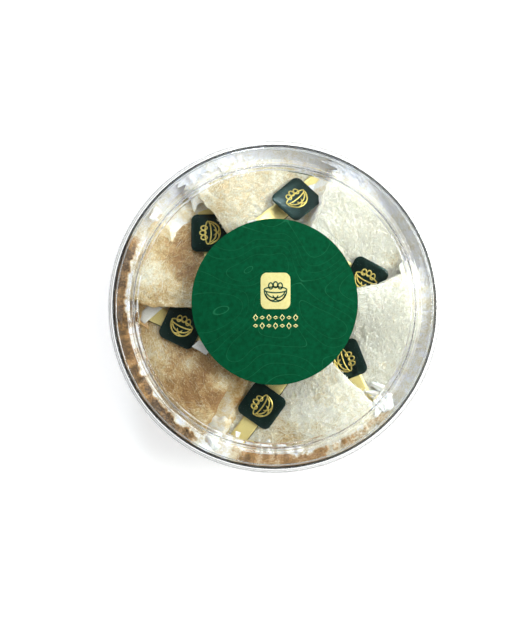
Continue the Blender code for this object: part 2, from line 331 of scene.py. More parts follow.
def turned(name, outline, materials, centre=(0.0, 0.0), steps=TURN_STEPS):
    """Sweeps an outline of (radius, height) in millimetres round the upright axis."""
    turn = np.linspace(0, 2 * np.pi, steps, endpoint=False)
    r, z = outline[:, :1] * MM, outline[:, 1:] * MM
    points = np.stack(
        [r * np.cos(turn) + centre[0] * MM, r * np.sin(turn) + centre[1] * MM, z + 0 * turn], -1
    )
    return add_mesh(name, points, grid_faces(len(outline), steps, wrap_columns=True), materials)


# %% [markdown]
# The tub has a flat floor, a wall that opens by about 6 degrees so that it leaves its mould, and a
# flange below the rim that carries the lid's skirt.

# %% Tub
tub_outline = rounded_outline(
    [
        (0, 1.8, 0), (89.8, 1.8, 1.6), (95.1, 46.2, 0.6), (95.8, 47.0, 0.6), (96.5, 46.0, 0.8), (95.1, 34.5, 0.5), (98.6, 34.5, 0.2), (99.0, 34.1, 0.3), (99.0, 33.0, 0.3),
        (98.6, 32.6, 0.2), (94.9, 32.6, 0.6), (91.2, 0.0, 1.6), (0, 0, 0),
    ]
)
tub = turned("clear_tub", tub_outline, [polystyrene])
put_on_box(tub, "tub", "tub")
print("tub outline points", len(tub_outline))

# %% [markdown]
# A fine groove marks the edge of the lid's flat plateau. Outside it comes a narrow level ring, then
# a steep step down to the shoulder, which rests on the tub's rim. The skirt goes down almost
# upright from a well-rounded corner and ends in a flange.

# %% Lid
lid_outline = rounded_outline(
    [
        (0, 53.0, 0), (79.3, 53.0, 0.2), (79.9, 52.4, 0.1), (80.5, 53.0, 0.2), (82.9, 53.0, 0.7),
        (84.9, 49.6, 0.8), (86.8, 48.5, 0.8), (93.0, 48.5, 0.2), (93.5, 48.75, 0.2), (94.0, 48.5, 0.2),
        (98.2, 48.5, 2.6), (98.8, 36.7, 0.3), (99.6, 36.7, 0.2), (100.0, 36.3, 0.3), (100.0, 35.3, 0.3),
        (99.6, 34.9, 0.2), (97.6, 34.9, 0.3), (97.1, 46.0, 0.8), (95.6, 47.3, 0.6), (86.3, 47.3, 0.8),
        (83.9, 48.7, 0.8), (82.2, 51.8, 0.7), (0, 51.8, 0),
    ]
)
lid = turned("clear_lid", lid_outline, [polystyrene])
put_on_box(lid, "lid", "lid")

# A small round mark on the shoulder, where a pin pushed the lid out of its mould
MARK_TURN = math.radians(-102.5)
mark_outline = rounded_outline([(0, 48.55, 0), (1.5, 48.55, 0.2), (1.7, 48.8, 0.2), (2.1, 48.8, 0.2), (2.2, 48.52, 0.1), (0, 48.52, 0)])
mark = turned(
    "lid_pin_mark", mark_outline, [polystyrene], (91.5 * math.cos(MARK_TURN), 91.5 * math.sin(MARK_TURN)), 32
)
put_on_box(mark, "lid")
print("lid outline points", len(lid_outline))

# %% [markdown]
# The nests need noise that can be worked out for any set of points at once. Value noise does that:
# random numbers stand on a lattice, and each point blends the eight numbers round it. Adding the
# same noise at smaller and smaller grain gives the lumps of a dried nest.


# %% Noise
def value_noise(points, grain, seed):
    """Smooth noise from -1 to 1, with swells about grain across: the eight lattice numbers round
    each point are blended by f * f * (3 - 2 * f), where f is the place between lattice points."""
    table = np.random.default_rng(seed).uniform(-1, 1, (32, 32, 32))
    cell = points / grain
    low = np.floor(cell).astype(int)
    f = cell - low
    f = f * f * (3 - 2 * f)
    total = np.zeros(points.shape[:-1])
    for corner in itertools.product((0, 1), repeat=3):
        at = (low + corner) % 32
        weight = np.prod(np.where(corner, f, 1 - f), axis=-1)
        total += weight * table[at[..., 0], at[..., 1], at[..., 2]]
    return total


# %% [markdown]
# Each nest's skin is an arch swept round the box's axis, from the open mouth to the tail. Across
# it, the arch is a superellipse, which is a circle with squarer shoulders. Its outer half is squarer
# still and leans out, because the nests were pressed against the tub's wall. The numbers of each
# nest are those of its solid: the angle of its mouth, the angle to the next nest's mouth, how far
# the mouth's edge leans, and a phase that sets its swells.

# %% The nests' places
NEST_FOOT_Z = 2.7 * MM
NEST_CREST = 43.2 * MM
NEST_CENTRE_RADIUS = 51.3 * MM
NEST_HALF_WIDTH = 36.8 * MM
NEST_WALL = 3.6 * MM
ARCH_POWER = 3.2
OUTER_ARCH_POWER = 6.5
OUTER_LEAN = 0.11
LEAN_ROUNDS = 12
TAIL_END = 1.33
NESTS = {
    "1": dict(mouth=65.3, to_next=52.0, skew=0.02, phase=0.3),
    "2": dict(mouth=13.3, to_next=57.3, skew=0.00, phase=1.7),
    "3": dict(mouth=-44.0, to_next=74.0, skew=-0.24, phase=2.6),
    "4": dict(mouth=-118.0, to_next=62.0, skew=-0.03, phase=3.9),
    "5": dict(mouth=-180.0, to_next=56.5, skew=-0.18, phase=4.6),
    "6": dict(mouth=123.5, to_next=58.2, skew=0.14, phase=5.8),
}


def arch_section(angle, width, height):
    """The arch in its own plane, as distance out from its middle and height: the width times the
    angle's cosine and the height times its sine, both to the power 2 over the arch's power. The
    outer half's width also grows by 0.11 of the height, which makes it lean out."""
    outer = np.cos(angle) > 0
    power = 2 / np.where(outer, OUTER_ARCH_POWER, ARCH_POWER)
    up = height * np.abs(np.sin(angle)) ** power
    width = width + np.where(outer, OUTER_LEAN, 0.0) * up
    return width * np.sign(np.cos(angle)) * np.abs(np.cos(angle)) ** power, up


def even_arch():
    """Angles that walk round the arch at an even pace: the arch's length is summed in small steps,
    and the angle is read off at equal shares of it."""
    angle = np.linspace(0, np.pi, 4001)
    out, up = arch_section(angle, NEST_HALF_WIDTH, NEST_CREST)
    length = np.concatenate([[0], np.cumsum(np.hypot(np.diff(out), np.diff(up)))])
    return length / length[-1], angle, length[-1]


ARCH_SHARES, ARCH_ANGLES, ARCH_LENGTH = even_arch()
print("arch length, mm:", round(ARCH_LENGTH / MM, 1))


# %% [markdown]
# A point of the skin is found from v, how far it lies from the mouth towards the tail, and s, its
# share of the way over the arch from the outer foot to the inner one. Lift moves it outwards.
# Noise then adds the lumps, finer and finer.


# %% The nests' skin
def crest_height(v):
    """The arch's height along the nest: a small dip at the mouth, a smooth fall by 27 per cent over
    the middle, and a slow fall along the tail, which runs low under the next nest."""
    dip = 0.03 * (np.clip(0.2 - v, 0, None) / 0.2) ** 2
    share = np.clip((v - 0.12) / 0.68, 0, 1)
    return NEST_CREST * (1 - dip - 0.27 * share**2 * (3 - 2 * share) - 0.16 * np.clip(v - 0.8, 0, None))


def half_width(v):
    """Half the arch's width along the nest: full over the front, narrower at the tail."""
    return NEST_HALF_WIDTH * (1 - 0.19 * (np.clip(v - 0.5, 0, None) / 0.5) ** 1.4)


def smooth_skin(nest, v, s, lift=0.0):
    """A point on the nest: the arch's section at v, turned round the box's axis by v times the
    angle to the next nest. Slow swells of 0.7 mm move it in and out."""
    angle = np.interp(s, ARCH_SHARES, ARCH_ANGLES)
    fade = np.where(v < 0.8, 1.0, 0.35)
    swell = 0.7 * MM * fade * np.sin(5.2 * angle + nest["phase"]) * np.cos(4.4 * v + 2 * nest["phase"])
    out = swell * np.sin(angle) + lift
    across, up = arch_section(angle, half_width(v) + out, crest_height(v) + out)
    radius = NEST_CENTRE_RADIUS + across
    turn = np.radians(nest["mouth"] - v * nest["to_next"])
    return np.stack([radius * np.cos(turn), radius * np.sin(turn), NEST_FOOT_Z + up], -1)


def lumps(points, seed):
    """The dried strands' clumps as a height, from swells of 11 mm down to crumbs of 1.3 mm."""
    coarse = 0.34 * value_noise(points, 11 * MM, seed) + 0.26 * value_noise(points, 5 * MM, seed + 1)
    fine = 0.32 * value_noise(points, 2.4 * MM, seed + 2) + 0.22 * value_noise(points, 1.3 * MM, seed + 3)
    return (coarse + fine) * MM


def nest_skin(nest, v, s, lift=0.0, share=1.0):
    """The skin with its lumps: the smooth skin, lifted by the noise found at each of its points."""
    base = smooth_skin(nest, v, s)
    return smooth_skin(nest, v, s, share * lumps(base, int(nest["phase"] * 10)) + lift)


def mouth_edge(nest, s):
    """Where the wavy edge of the mouth lies along the nest, as v."""
    angle = np.interp(s, ARCH_SHARES, ARCH_ANGLES)
    radius = (NEST_CENTRE_RADIUS + NEST_HALF_WIDTH * np.cos(angle)) / MM
    skew = -nest["skew"] * (radius - 58.0)
    wave = 1.3 * np.sin(3 * angle + nest["phase"]) + 0.5 * np.sin(17 * angle) + 0.35 * np.sin(41 * angle + 1)
    return (skew + wave) * np.sin(angle) / nest["to_next"]


def on_skin(nest, x, y):
    """The v and s of the skin's point straight above or below (x, y), and whether there is one. The
    outer half leans by its height, so the height is found in rounds, from the top down."""
    offset = np.hypot(x, y) - NEST_CENTRE_RADIUS
    turn = (nest["mouth"] - np.degrees(np.arctan2(y, x)) + 180) % 360 - 180
    v = turn / nest["to_next"]
    power = np.where(offset > 0, OUTER_ARCH_POWER, ARCH_POWER)
    lean = np.where(offset > 0, OUTER_LEAN, 0.0)
    height = crest_height(v)
    inside = np.full(v.shape, True)
    for _ in range(LEAN_ROUNDS):
        share = np.abs(offset) / (half_width(v) + lean * height)
        inside &= share <= 1
        share = np.minimum(share, 1)
        height = crest_height(v) * (1 - share**power) ** (1 / power)
    angle = np.arccos(np.sign(offset) * share ** (power / 2))
    s = np.interp(angle, ARCH_ANGLES, ARCH_SHARES)
    return v, s, inside & (v > mouth_edge(nest, s))


# %% [markdown]
# The colour of a nest goes from ivory, where the strands are dry and full of air, to honey brown,
# where they were thick and clear. That share of honey is worked out for each point and stored on
# the mesh, so the skin and the strands over it agree. Each nest also has its own size of strand. A few broad stains lie
# where the photograph shows them, given by place, reach and depth, and noise breaks them up. Below 30 mm the share also
# grows towards the floor, which is painted shade on the nests' low flanks.

# %% Honey stains
HONEY = {"1": -0.07, "2": -0.10, "3": 0.05, "4": 0.61, "5": 0.45, "6": 0.26}
STRAND_SIZE = {"1": 1.35, "2": 1.55, "3": 1.2, "4": 0.9, "5": 1.0, "6": 1.15}
STAINS = [
    (-57, 35, 13, 0.55), (-50, 19, 9, 0.35), (-51, -52, 12, 0.30), (-44, -35, 9, 0.30),
    (-25, -54, 11, 0.85), (8, -79, 12, 0.40), (72, 27, 6, 0.25), (63, -35, 9, 0.18),
    (-35, 62, 8, 0.20), (-18, 66, 11, 0.06), (78, 0, 9, 0.14), (-68, -30, 8, -0.25), (-67, 20, 10, -0.22),
    (-29, -47, 6, -0.55), (-50, -33, 4, -0.35), (-62, -30, 12, 0.22),
]


def honey_and_low_shade(name, points):
    """How honey-brown each point is, 0 to 1: the nest's own share, plus each stain's depth times
    a bell curve of the distance from its middle, plus noise at three grains, plus painted shade
    that makes points below 30 mm browner the lower they lie."""
    at = points / MM
    share = np.full(points.shape[:-1], HONEY[name])
    for x, y, reach, depth in STAINS:
        share += depth * np.exp(-((at[..., 0] - x) ** 2 + (at[..., 1] - y) ** 2) / reach**2)
    seed = 70 + int(name)
    share += 0.16 * value_noise(points, 9 * MM, seed) + 0.13 * value_noise(points, 3.2 * MM, seed + 7)
    share += 0.10 * value_noise(points, 1.4 * MM, seed + 14)
    # Painted shade: below 30 mm the share grows by up to 0.6 towards the floor, where the flanks lie in shade.
    low = np.clip((30 - at[..., 2]) / 30, 0, 1)
    return np.clip(share + 0.6 * low, 0, 1)


def store(piece, name, values):
    """Keeps one number for each point of the mesh, for its material to read."""
    layer = piece.data.attributes.new(name, "FLOAT", "POINT")
    layer.data.foreach_set("value", np.asarray(values, np.float32).ravel())


# %% [markdown]
# Dried nest is a little like horn or gelatine: light goes in and comes out softened, so the shader
# scatters light under the surface. Its fine grain is bump, worked out from noise of about 1 mm.


# %% Dried nest
def make_dried_nest(name, stops, roughness, scatter, bump):
    """Dried strands: the colour runs from ivory to honey with the stored share, which also holds painted shade."""
    made, tree, shader = new_material(
        name, Roughness=roughness, Subsurface_Weight=scatter, Subsurface_Scale=0.35 * MM, IOR=1.5
    )
    shader.inputs["Subsurface Radius"].default_value = (1.0, 0.8, 0.5)
    share = add_node(tree, "Attribute", attribute_name="honey_and_shade")
    place = add_node(tree, "TexCoord")
    grain = add_node(
        tree, "TexNoise", {"Vector": place.outputs["Object"], "Scale": 900.0, "Detail": 3.0, "Roughness": 0.6}
    )
    spread = add_node(
        tree, "MapRange", {"Value": grain.outputs["Fac"], "From Min": 0.3, "From Max": 0.7, "To Min": -0.2, "To Max": 0.2}
    )
    mixed = add_node(tree, "Math", {0: share.outputs["Fac"], 1: spread.outputs["Result"]}, operation="ADD")
    colour = colour_ramp(tree, mixed.outputs["Value"], stops)
    tree.links.new(colour, shader.inputs["Base Color"])
    relief = add_node(tree, "Bump", {"Height": grain.outputs["Fac"], "Strength": bump, "Distance": 0.6 * MM})
    tree.links.new(relief.outputs["Normal"], shader.inputs["Normal"])
    return made


SKIN_STOPS = [(0.0, "#F4F0E2"), (0.14, "#E6DFC8"), (0.3, "#DACCAA"), (0.55, "#C9AE7E"), (0.8, "#AC8753"), (1.0, "#8C6539")]
STRAND_STOPS = [(0.0, "#FFFDF0"), (0.3, "#FAF3DC"), (0.6, "#E6D4AC"), (1.0, "#BE9C68")]
FILM_STOPS = [(0.0, "#F3F1EE"), (0.4, "#E4CFA2"), (0.7, "#C79B5C"), (1.0, "#A06A2E")]
nest_skin_material = make_dried_nest("dried_swiftlet_nest", SKIN_STOPS, 0.5, 0.25, 1.0)
strand_material = make_dried_nest("dried_nest_strands", STRAND_STOPS, 0.38, 0.08, 0.2)
film_material = make_dried_nest("dried_nest_film", FILM_STOPS, 0.28, 0.3, 0.06)


# %% [markdown]
# A nest's wall is two skins on the same grid, the outer one and one 3.6 mm further in. Towards the
# mouth, the tail and both feet the wall thins to nothing along a quarter round, so the two skins
# meet in a soft rim and the shell is closed.


# %% Nest shells
def make_nest_shell(name, rows=128, columns=140):
    """The closed shell of one nest."""
    nest = NESTS[name]
    s = np.linspace(0, 1, columns)[None, :]
    t = np.linspace(0, 1, rows)[:, None]
    edge = mouth_edge(nest, s)
    ragged = TAIL_END + 0.02 * np.sin(23 * s * np.pi)
    v = edge + t * (ragged - edge)
    s = s + 0 * v
    to_mouth = t * (ragged - edge) * math.radians(nest["to_next"]) * 50
    to_edges = np.minimum(np.minimum(to_mouth, (1 - t) * 60), np.minimum(s, 1 - s) * ARCH_LENGTH / MM)
    near = np.clip(to_edges / 2.6, 0, 1)
    wall = NEST_WALL * np.sqrt(np.clip(1 - (1 - near) ** 2, 0, 1))
    outer = nest_skin(nest, v, s)
    inner = nest_skin(nest, v, s, -wall, 0.4)
    inner = np.where((near <= 0)[..., None], outer, inner)
    faces = grid_faces(rows, columns)
    both = np.concatenate([faces, faces[:, ::-1] + rows * columns])
    shell = add_mesh(f"nest_{name}_shell", np.concatenate([outer.reshape(-1, 3), inner.reshape(-1, 3)]), both, [nest_skin_material])
    at = np.empty(len(shell.data.vertices) * 3, np.float32)
    shell.data.vertices.foreach_get("co", at)
    store(shell, "honey_and_shade", honey_and_low_shade(name, at.reshape(-1, 3).astype(float)))
    put_on_box(shell, "nest", f"nest_{name}")
    return shell


for nest_name in NESTS:
    made = make_nest_shell(nest_name)
    print(made.name, "faces", len(made.data.polygons))

# %% [markdown]
# Over the shell lie the strands themselves. Each is a thin closed spindle of three sides that
# wanders over the skin, starts and ends under it and rises clear of it between. Most are short and
# lie every way, like felt. Some are long and white and follow the way the bird wove.


# %% Strands
def strand_paths(nest, rng, count, length, spread, rise, steps=4):
    """Paths over the skin, count by steps points. Each path starts anywhere on the skin, with more
    of them where the ring is wide, and its heading drifts a little at each step."""
    tries = count * 3
    v0 = rng.uniform(0.0, 1.2, tries)
    s0 = rng.uniform(0.04, 0.96, tries)
    start = smooth_skin(nest, v0, s0)
    ring = np.hypot(start[:, 0], start[:, 1])
    keep = np.nonzero(rng.uniform(0, 95 * MM, tries) < ring)[0][:count]
    v0, s0, ring = v0[keep], s0[keep], ring[keep]
    v0 = v0 + mouth_edge(nest, s0) * (1 - np.clip(v0 / 0.2, 0, 1))
    heading = rng.normal(0, spread, len(keep))[:, None] + rng.normal(0, 0.25, (len(keep), steps)).cumsum(1)
    pace = (length * rng.uniform(0.5, 1.5, len(keep)) / (steps - 1))[:, None]
    v = v0[:, None] + np.cumsum(pace * np.cos(heading), 1) / (ring[:, None] * math.radians(nest["to_next"]))
    s = np.clip(s0[:, None] + np.cumsum(pace * np.sin(heading), 1) / ARCH_LENGTH, 0.01, 0.99)
    v = np.maximum(v, mouth_edge(nest, s) - 0.008)
    along = np.sin(np.linspace(0, np.pi, steps))[None, :]
    lift = -0.25 * MM + rise * rng.uniform(0.3, 1.0, (len(keep), 1)) * along
    here = nest_skin(nest, v, s, lift)
    aside = smooth_skin(nest, v, s + 0.004, lift) - smooth_skin(nest, v, s - 0.004, lift)
    ahead = smooth_skin(nest, v + 0.01, s, lift) - smooth_skin(nest, v - 0.01, s, lift)
    up = np.cross(ahead, aside)
    up /= np.linalg.norm(up, axis=-1, keepdims=True)
    up = np.where(np.sum(up * (here - [0, 0, 0.0]), -1, keepdims=True) < 0, -up, up)
    return here, up


def spindles(path, up, width, flat=0.6):
    """Closed three-sided spindles along the paths: a ring of three points stands at each inner
    point, across the path, and the two end points close it. Returns points and triangles."""
    count, steps, _ = path.shape
    ahead = np.gradient(path, axis=1)
    ahead /= np.linalg.norm(ahead, axis=-1, keepdims=True) + 1e-12
    side = np.cross(ahead, up)
    side /= np.linalg.norm(side, axis=-1, keepdims=True) + 1e-12
    rise = np.cross(side, ahead)
    turn = 2 * np.pi * np.arange(3) / 3 + np.pi / 2
    across = np.cos(turn)[None, None, :, None] * side[:, 1:-1, None, :]
    above = flat * np.sin(turn)[None, None, :, None] * rise[:, 1:-1, None, :]
    ring = path[:, 1:-1, None, :] + (across + above) * width[:, None, None, None]
    rings = steps - 2
    points = np.concatenate([path[:, :1], ring.reshape(count, -1, 3), path[:, -1:]], 1)
    k = np.arange(3)
    tail = np.stack([0 * k, 1 + (k + 1) % 3, 1 + k], -1)
    last = 1 + (rings - 1) * 3
    tip = np.stack([0 * k + 1 + rings * 3, last + k, last + (k + 1) % 3], -1)
    sides = []
    for ring_number in range(rings - 1):
        a = 1 + ring_number * 3
        one, two = a + k, a + (k + 1) % 3
        sides += [np.stack([one, two, two + 3], -1), np.stack([one, two + 3, one + 3], -1)]
    pattern = np.concatenate([tail, *sides, tip])
    faces = (pattern[None] + (np.arange(count) * points.shape[1])[:, None, None]).reshape(-1, 3)
    return points, faces


def make_strands(name, felt=10500, wisps=1500):
    """All the strands of one nest as one mesh: short felt in the skin's colours, and long wisps that
    are whiter. Where the nest is honey brown there are fewer, and they lie more one way."""
    nest = NESTS[name]
    rng = np.random.default_rng(400 + int(name))
    parts, tones = [], []
    for count, length, spread, rise, thick, pale in ((felt, 2.8, 1.5, 0.6, 0.17, 0.08), (wisps, 9.0, 0.6, 1.0, 0.12, 0.3)):
        size, spread = STRAND_SIZE[name], spread * (1 - 1.2 * max(HONEY[name], 0))
        path, up = strand_paths(nest, rng, count, size * length * MM, spread, rise * MM)
        honey_and_shade = honey_and_low_shade(name, path[:, 2])
        keep = rng.uniform(0, 1, len(path)) > 0.7 * honey_and_shade
        path, up = path[keep], up[keep]
        width = rng.uniform(0.4, 1.0, len(path)) * size * thick * MM
        points, faces = spindles(path, up, width)
        tone = rng.normal(-pale, 0.16, (len(path), 1))
        tones.append((honey_and_low_shade(name, points.astype(float)) + tone).ravel())
        parts.append((points.reshape(-1, 3), faces))
    points = np.concatenate([parts[0][0], parts[1][0]])
    faces = np.concatenate([parts[0][1], parts[1][1] + len(parts[0][0])])
    strands = add_mesh(f"nest_{name}_strands", points, faces, [strand_material], clean=False)
    store(strands, "honey_and_shade", np.clip(np.concatenate(tones), 0, 1))
    put_on_box(strands, "nest", f"nest_{name}")
    return strands


for nest_name in NESTS:
    made = make_strands(nest_name)
    print(made.name, "triangles", len(made.data.polygons))

# %% [markdown]
# In places the bird's strands ran together before they dried, and left a smooth film, glossy and
# the colour of caramel or milk. A film is a patch of the skin, lifted a little, with soft folds and
# a wavy outline. Its edges dive under the strands, so it reads as part of the nest.


# %% Films
def make_film(name, nest_name, v_span, s_span, lift, tone, seed, grid=70, drop=0.0):
    """A thin patch over the skin: t and u run over the spans of v and s, both wobbled by sines, and
    the lift falls to nothing within a sixth of the patch from its edges. Past the mouth, where v is
    below zero, it falls by drop over the first 0.12 of v."""
    nest = NESTS[nest_name]
    t, u = np.meshgrid(np.linspace(0, 1, grid), np.linspace(0, 1, grid), indexing="ij")
    v = v_span[0] + (v_span[1] - v_span[0]) * (t + 0.07 * np.sin(7 * u + seed) + 0.012 * np.sin(19 * u))
    s = s_span[0] + (s_span[1] - s_span[0]) * (u + 0.06 * np.sin(8 * t + seed) + 0.012 * np.sin(21 * t))
    inward = np.clip(6 * np.minimum(np.minimum(t, 1 - t), np.minimum(u, 1 - u)), 0, 1)
    base = smooth_skin(nest, v, s)
    folds = 0.5 * MM * value_noise(base * [1, 1, 0.4], 6 * MM, seed) + 0.2 * MM * value_noise(base, 2.5 * MM, seed + 1)
    fall = drop * np.clip(-v / 0.12, 0, 1)
    points = smooth_skin(nest, v, s, -0.8 * MM + inward * (lift + 0.8 * MM) + folds - fall)
    film = add_mesh(name, points, grid_faces(grid, grid), [film_material], clean=False)
    if film.data.polygons[grid * grid // 2].normal.z < 0:
        film.data.flip_normals()
    streak = value_noise(base * [1, 1, 2.5], 7 * MM, seed + 2) + 0.5 * value_noise(base, 2.5 * MM, seed + 3)
    store(film, "honey_and_shade", np.clip(tone + 0.28 * streak, 0, 1))
    sheet = film.modifiers.new("sheet", "SOLIDIFY")
    sheet.thickness = 0.25 * MM
    sheet.offset = -1.0
    put_on_box(film, "nest", f"nest_{nest_name}")
    return film


make_film("nest_3_film", "3", (0.86, 1.14), (0.16, 0.64), 2.4 * MM, 0.50, 31)
make_film("nest_3_pale_film", "3", (0.90, 1.08), (0.17, 0.38), 3.6 * MM, 0.02, 37)
make_film("nest_4_film", "4", (0.84, 1.12), (0.16, 0.34), 2.5 * MM, 0.60, 41)
make_film("nest_5_film", "5", (0.50, 1.12), (0.17, 0.38), 2.4 * MM, 0.25, 52)
make_film("nest_6_film", "6", (0.10, 0.60), (0.17, 0.30), 0.9 * MM, 0.2, 61)
make_film("nest_1_lip", "1", (-0.20, 0.10), (0.18, 0.66), -1.0 * MM, 0.10, 11, drop=5.5 * MM)
make_film("nest_2_lip", "2", (-0.09, 0.14), (0.18, 0.33), 0.2 * MM, 0.08, 12, drop=3.0 * MM)
make_film("nest_3_lip", "3", (-0.06, 0.12), (0.18, 0.30), 0.2 * MM, 0.04, 13, drop=3.0 * MM)
make_film("nest_6_lip", "6", (-0.10, 0.16), (0.18, 0.36), 0.2 * MM, 0.05, 16, drop=3.0 * MM)

# %% [markdown]
# A few films have cracked and stand up as white papery flakes. Each flake is a small curled sheet
# with straight torn sides, narrower at one end, at its own heading and lean.


# %% Flakes
FLAKE_Z = 42.5 * MM
flake_material = make_dried_nest("dried_nest_flake", [(0.0, "#FCFBF8"), (0.5, "#F3ECDC"), (1.0, "#DCC79C")], 0.5, 0.3, 0.1)


def make_flakes(name, nest_name, middle, reach, count, seed, sizes=(4.0, 8.0)):
    """Curled sheets at random places round middle, in millimetres. A sheet is a grid of (x, y) from
    -1 to 1, tapered along x, with x squared as its curl, leaned about its own side."""
    nest = NESTS[nest_name]
    rng = np.random.default_rng(seed)
    spot = (np.array(middle) + rng.uniform(-1, 1, (count, 2)) * reach) * MM
    v, s, there = on_skin(nest, spot[:, 0], spot[:, 1])
    base = np.where(there[:, None], smooth_skin(nest, v, s, 1.0 * MM), np.c_[spot, np.full(count, FLAKE_Z)])
    grid = 7
    x, y = np.meshgrid(np.linspace(-1, 1, grid), np.linspace(-1, 1, grid), indexing="ij")
    draw = rng.uniform(0, 1, (6, count, 1, 1))
    half = (sizes[0] + (sizes[1] - sizes[0]) * draw[0]) * MM / 2
    along = x * half
    across = y * half * (0.6 + 0.4 * draw[1]) * (1 - (0.5 + 0.45 * draw[2]) * (x + 1) / 2) + 0.3 * half * draw[3] * x
    height = 0.3 * half * (draw[4] - 0.3) * x**2 + 0.12 * half * np.sin(3 * y + 6 * draw[5])
    lean, turn = 0.45 * (draw[2] - 0.3), 2 * np.pi * draw[5]
    flat = along * np.cos(lean) - height * np.sin(lean)
    up = along * np.sin(lean) + height * np.cos(lean) + half * 0.15
    points = np.stack([flat * np.cos(turn) - across * np.sin(turn), flat * np.sin(turn) + across * np.cos(turn), up], -1)
    points = points + base[:, None, None, :]
    faces = (grid_faces(grid, grid)[None] + (np.arange(count) * grid * grid)[:, None, None]).reshape(-1, 4)
    flakes = add_mesh(name, points, faces, [flake_material], clean=False)
    store(flakes, "honey_and_shade", np.broadcast_to(0.02 + 0.12 * draw[0], (count, grid, grid)))
    sheet = flakes.modifiers.new("sheet", "SOLIDIFY")
    sheet.thickness = 0.15 * MM
    sheet.offset = 0.0
    put_on_box(flakes, "nest", f"nest_{nest_name}")
    return flakes


make_flakes("nest_2_flakes", "2", (59, -54), (9, 7), 26, 21, (5.0, 11.0))
make_flakes("nest_3_flakes", "3", (6, -84), (16, 4), 9, 33)
make_flakes("nest_4_flakes", "4", (-30, -80), (9, 4), 7, 44)
make_flakes("nest_5_flakes", "5", (-64, 55), (8, 6), 7, 55)
make_flakes("nest_6_flakes", "6", (-30, 78), (14, 4), 7, 66)

# %% [markdown]
# Where a nest was pushed against the tub, its edge is pressed into a thin pleated sheet that climbs
# the wall nearly to the rim. Through the lid's shoulder it shows as streaks that point to the
# middle of the box. Its colour is set by its angle round the box: on the left it is dark brown, which
# is painted shade, since the light comes from the right; at the bottom its browns are partly painted
# shade and partly the nests' own honey colour; behind and on the right it is nearly white. Its inner
# part is pale all round, with a border of spikes.


# %% Pressed edges
# The darkest stop is the painted shade of the left side of the box.
EDGE_STOPS_TO_SHADE = [(0.0, "#F2F2FB"), (0.3, "#DDD3BC"), (0.65, "#AD8352"), (1.0, "#57422F")]
EDGE_TURNS = (0, 25, 60, 125, 150, 160, 236, 243, 252, 259, 288, 292, 297, 310, 322, 360)
EDGE_TONES_AND_SHADE = (0.15, 0.10, 0.0, 0.0, 0.18, 0.98, 0.86, 0.10, 0.16, 0.72, 0.66, 0.20, 0.58, 0.40, 0.18, 0.18)
edge_material = make_dried_nest("pressed_nest_edge", EDGE_STOPS_TO_SHADE, 0.35, 0.15, 0.5)


def tub_wall(z):
    """The radius of the tub's inner wall at height z, which grows evenly from floor to rim."""
    return np.interp(z / MM, (1.8, 46.6), (89.8, 95.1)) * MM


def make_pressed_edge(name, rows=220, columns=26):
    """A sheet from the nest's shoulder up to the wall: with t from 0 to 1 its radius grows by
    sin(t * 90 degrees) and its height by 1 - cos(t * 90 degrees). Then it goes down the wall. Noise
    that is long up the sheet and short along it makes the pleats."""
    nest = NESTS[name]
    v, q = np.meshgrid(np.linspace(0.0, 1.03, rows), np.linspace(0, 1, columns), indexing="ij")
    seed = 300 + 10 * int(name)
    v = v + 0.07 * (1 - v) * (value_noise(np.stack([q, 0 * q, 0 * q], -1), 0.13, seed + 5) - 1.0)
    turn = np.radians(nest["mouth"] - v * nest["to_next"])
    start = NEST_CENTRE_RADIUS + 0.93 * half_width(v)
    _, s, _ = on_skin(nest, start * np.cos(turn), start * np.sin(turn))
    top = smooth_skin(nest, v, s, -0.4 * MM)[..., 2]
    pleat_at = np.stack([turn * 90 * MM, 5 * MM * q, 0 * q], -1)
    pleats = value_noise(pleat_at, 3.4 * MM, seed) + 0.6 * value_noise(pleat_at, 1.3 * MM, seed + 1)
    rim = 44.3 * MM + 0.9 * MM * value_noise(pleat_at * [1, 0, 0], 2.2 * MM, seed + 2)
    quarter = np.clip(q / 0.72, 0, 1) * np.pi / 2
    down = np.clip((q - 0.72) / 0.28, 0, 1)
    hem = 28 * MM + 4 * MM * value_noise(pleat_at * [1, 0, 0], 6 * MM, seed + 6)
    z = top + (rim - top) * (1 - np.cos(quarter)) - down * (rim - hem)
    radius = start + (tub_wall(z) - 0.9 * MM - start) * np.sin(quarter)
    fold = 0.5 * MM * pleats * np.sin(2 * quarter)
    points = np.stack([radius * np.cos(turn), radius * np.sin(turn), z + fold], -1)
    edge = add_mesh(f"nest_{name}_pressed_edge", points, grid_faces(rows, columns), [edge_material], clean=False)
    if edge.data.polygons[(rows // 2) * (columns - 1) + 2].normal.z < 0:
        edge.data.flip_normals()
    # Painted shade: by its angle round the box the sheet is dark brown on the left and partly brown at the bottom,
    # where the light from the right leaves it in shade.
    tone = np.interp(np.degrees(turn) % 360, EDGE_TURNS, EDGE_TONES_AND_SHADE)
    spikes = value_noise(pleat_at * [1, 0, 0], 5 * MM, seed + 3) + 0.8 * value_noise(pleat_at * [1, 0, 0], 1.6 * MM, seed + 4)
    outer = np.clip((q - 0.15 - 0.10 * np.maximum(spikes, -0.5)) / 0.10, 0, 1)
    tone = 0.16 + (tone - 0.16) * outer + 0.20 * pleats * (0.4 + tone)
    store(edge, "honey_and_shade", np.clip(tone + 0.10 * value_noise(points, 4 * MM, 330), 0, 1))
    sheet = edge.modifiers.new("sheet", "SOLIDIFY")
    sheet.thickness = 0.2 * MM
    sheet.offset = -1.0
    put_on_box(edge, "nest", f"nest_{name}")
    return edge


for nest_name in NESTS:
    made = make_pressed_edge(nest_name)
    print(made.name, "points", len(made.data.vertices))

# %% [markdown]
# The band is a strip of gold foil paper, 10.5 mm wide, white behind, wrapped round the nest's wall:
# over the skin, round the mouth, and back inside. Its line is straight from above, so it is found
# by stepping along that line and asking where on the arch each step lies.

